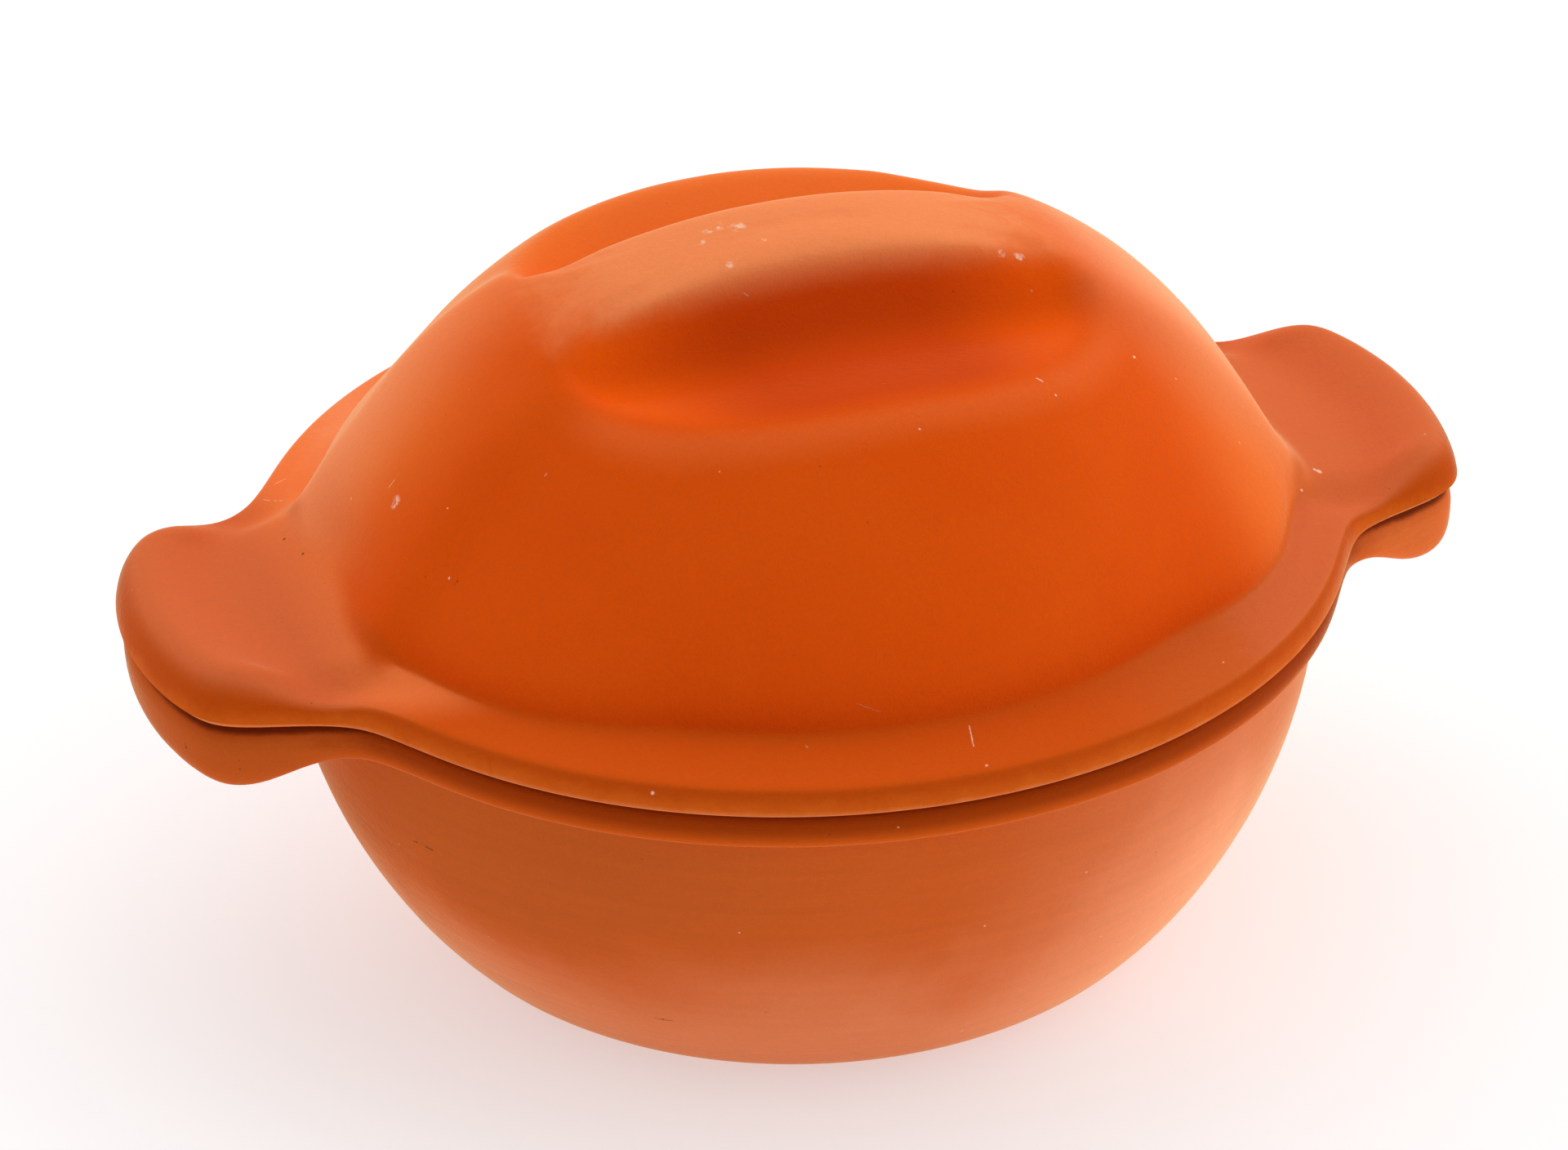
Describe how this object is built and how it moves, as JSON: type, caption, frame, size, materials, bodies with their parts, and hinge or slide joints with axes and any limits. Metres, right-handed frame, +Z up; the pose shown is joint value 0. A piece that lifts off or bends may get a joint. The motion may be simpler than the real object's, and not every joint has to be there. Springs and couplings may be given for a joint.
{
  "type": "clay baker",
  "caption": "Round unglazed clay baker: a deep bowl with two ear handles and a domed lid with a bar grip between two finger recesses, which lifts off.",
  "frame": {"origin": "middle of the foot ring, on the surface that the baker stands on", "axes": "+X from ear to ear, -Y the front, +Z up"},
  "size_m": [0.366, 0.284, 0.1982],
  "materials": {
    "lid_clay": "matt unglazed terracotta",
    "base_clay": "matt unglazed terracotta"
  },
  "bodies": {
    "base": {"base": "base_clay"},
    "lid": {"lid": "lid_clay"}
  },
  "joints": [
    {"name": "lid_lift", "type": "slide", "parent": "base", "child": "lid", "axis": [0, 0, 1], "range_m": [0, 0.15]}
  ]
}
